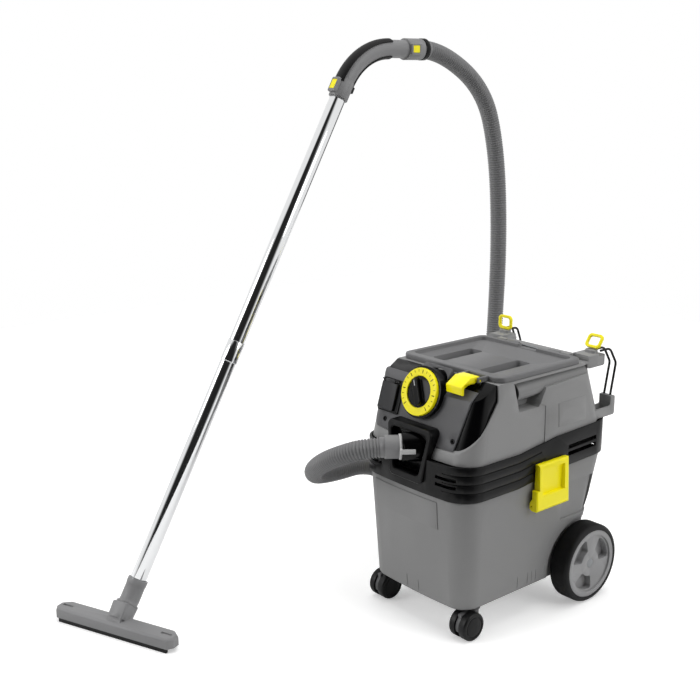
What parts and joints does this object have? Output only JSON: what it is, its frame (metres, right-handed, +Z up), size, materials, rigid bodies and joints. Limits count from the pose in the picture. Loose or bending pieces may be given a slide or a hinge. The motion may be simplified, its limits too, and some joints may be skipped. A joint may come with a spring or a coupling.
{
  "type": "shop vacuum",
  "caption": "Wet and dry shop vacuum: wheeled container with latched suction head, control dial, socket, hinged filter cover, ribbed hose, chrome wand and floor nozzle.",
  "frame": {"origin": "on the floor, under the middle of the box around all the rigid pieces (machine, wand and nozzle; hose left out)", "axes": "+Z up, -Y the machine's front with the hose inlet, +X the machine's side with the pictured wheel"},
  "size_m": [0.682, 1.2437, 1.1937],
  "materials": {
    "container_grey": "satin",
    "head_grey": "satin",
    "panel_dark": "satin",
    "black_gloss": "gloss",
    "black_matte": "matte",
    "signal_yellow": "satin",
    "tyre_black": "matte",
    "rim_grey": "satin",
    "caster_dark": "satin",
    "steel": "brushed",
    "chrome_tube": "polished",
    "rubber_black": "matte",
    "fitting_grey": "satin",
    "key_light": "satin",
    "hose_grey": "satin",
    "motor_metal": "satin",
    "filter_paper": "matte",
    "inner_plastic": "matte"
  },
  "bodies": {
    "container": {"container": "container_grey", "head_seal": "rubber_black", "axle_stubs": "steel", "latch_pins": "steel", "suction_hose": "hose_grey", "hose_cuff": "black_gloss"},
    "wheel_left": {"tyre_left": "tyre_black", "rim_left": "rim_grey"},
    "wheel_right": {"tyre_right": "tyre_black", "rim_right": "rim_grey"},
    "caster_left": {"caster_fork_left": "black_matte", "caster_axle_left": "steel"},
    "caster_right": {"caster_fork_right": "black_matte", "caster_axle_right": "steel"},
    "caster_roller_left": {"caster_wheels_left": "caster_dark"},
    "caster_roller_right": {"caster_wheels_right": "caster_dark"},
    "latch_left": {"latch_left": "signal_yellow"},
    "latch_right": {"latch_right": "signal_yellow"},
    "suction_head": {"head_band": "black_matte", "head_shell": "head_grey", "panel_screws": "steel", "dial_hood": "panel_dark", "dial_base": "black_gloss", "socket_body": "panel_dark", "panel_surround": "black_gloss", "control_panel": "panel_dark", "inlet_frame": "black_matte", "inlet_port": "black_gloss", "cover_pin": "steel", "motor_housing": "motor_metal", "motor_mount": "rubber_black", "motor_stator": "motor_metal", "motor_bearings": "steel", "filter_pleats": "filter_paper", "filter_frame": "inner_plastic", "circuit_board": "inner_plastic", "level_probes": "steel", "cable_gland": "black_matte", "strap_loop_left": "signal_yellow", "strap_loop_right": "signal_yellow", "strap_left": "rubber_black", "strap_right": "rubber_black", "hose_connector": "fitting_grey", "hose_ring": "key_light"},
    "filter_cover": {"filter_cover": "head_grey"},
    "cover_lever": {"cover_lever": "signal_yellow"},
    "dial_ring": {"dial_ring": "signal_yellow"},
    "switch_knob": {"switch_knob": "black_gloss"},
    "socket_flap": {"socket_flap": "panel_dark"},
    "turbine": {"motor_rotor": "steel", "turbine_wheel": "motor_metal"},
    "wand": {"handle": "fitting_grey", "handle_grips": "rubber_black", "upper_tube": "chrome_tube", "lower_tube": "chrome_tube", "nozzle_elbow": "fitting_grey"},
    "tube_key": {"tube_key": "signal_yellow"},
    "hose_key": {"hose_key": "signal_yellow"},
    "nozzle": {"nozzle_body": "fitting_grey", "nozzle_lips": "rubber_black"}
  },
  "joints": [
    {"name": "wheel_left_spin", "type": "hinge", "parent": "container", "child": "wheel_left", "pos_m": [-0.00505, 0.41352, 0.087], "axis": [1, 0, 0], "continuous": true},
    {"name": "caster_left_swivel", "type": "hinge", "parent": "container", "child": "caster_left", "pos_m": [0.03395, 0.11252, 0.06], "axis": [0, 0, 1], "continuous": true},
    {"name": "caster_left_roll", "type": "hinge", "parent": "caster_left", "child": "caster_roller_left", "pos_m": [0.03395, 0.09152, 0.03], "axis": [1, 0, 0], "continuous": true},
    {"name": "latch_left_open", "type": "hinge", "parent": "container", "child": "latch_left", "pos_m": [-0.00205, 0.28752, 0.258], "axis": [0, -1, 0], "range_deg": [0, 60]},
    {"name": "wheel_right_spin", "type": "hinge", "parent": "container", "child": "wheel_right", "pos_m": [0.31695, 0.41352, 0.087], "axis": [1, 0, 0], "continuous": true},
    {"name": "caster_right_swivel", "type": "hinge", "parent": "container", "child": "caster_right", "pos_m": [0.27795, 0.11252, 0.06], "axis": [0, 0, 1], "continuous": true},
    {"name": "caster_right_roll", "type": "hinge", "parent": "caster_right", "child": "caster_roller_right", "pos_m": [0.27795, 0.09152, 0.03], "axis": [1, 0, 0], "continuous": true},
    {"name": "latch_right_open", "type": "hinge", "parent": "container", "child": "latch_right", "pos_m": [0.31395, 0.28752, 0.258], "axis": [0, 1, 0], "range_deg": [0, 60]},
    {"name": "head_lift", "type": "slide", "parent": "container", "child": "suction_head", "axis": [0, 0, 1], "range_m": [0, 0.3], "deforming": ["suction_hose"]},
    {"name": "cover_open", "type": "hinge", "parent": "suction_head", "child": "filter_cover", "pos_m": [0.15595, 0.41052, 0.535], "axis": [-1, 0, 0], "range_deg": [0, 90]},
    {"name": "cover_lever_lift", "type": "hinge", "parent": "filter_cover", "child": "cover_lever", "pos_m": [0.23595, 0.12652, 0.534], "axis": [-1, 0, 0], "range_deg": [0, 25], "stiffness_Nm_per_rad": 0.2},
    {"name": "dial_ring_turn", "type": "hinge", "parent": "suction_head", "child": "dial_ring", "pos_m": [0.15595, 0.08288, 0.494], "axis": [0, -0.9567, 0.2909], "range_deg": [-120, 120]},
    {"name": "switch_turn", "type": "hinge", "parent": "suction_head", "child": "switch_knob", "pos_m": [0.15595, 0.08288, 0.494], "axis": [0, -0.9567, 0.2909], "range_deg": [0, 90]},
    {"name": "socket_flap_open", "type": "hinge", "parent": "suction_head", "child": "socket_flap", "pos_m": [0.05895, 0.07905, 0.5003], "axis": [-1, 0, 0], "range_deg": [0, 95]},
    {"name": "turbine_spin", "type": "hinge", "parent": "suction_head", "child": "turbine", "pos_m": [0.15595, 0.34752, 0.4], "axis": [0, 0, 1], "continuous": true},
    {"name": "handle_swivel", "type": "hinge", "parent": "container", "child": "wand", "pos_m": [-0.2142, 0.40668, 1.16909], "axis": [0, 1, 0], "continuous": true},
    {"name": "tube_key_press", "type": "slide", "parent": "wand", "child": "tube_key", "axis": [0, 0.8721, -0.4894], "range_m": [0, 0.0025], "stiffness_N_per_m": 400},
    {"name": "hose_key_press", "type": "slide", "parent": "wand", "child": "hose_key", "axis": [-1, 0, 0], "range_m": [0, 0.0025], "stiffness_N_per_m": 400},
    {"name": "nozzle_swivel", "type": "hinge", "parent": "wand", "child": "nozzle", "pos_m": [-0.20659, -0.42026, 0.04], "axis": [-0.2817, 0.7124, 0.6428], "continuous": true}
  ]
}
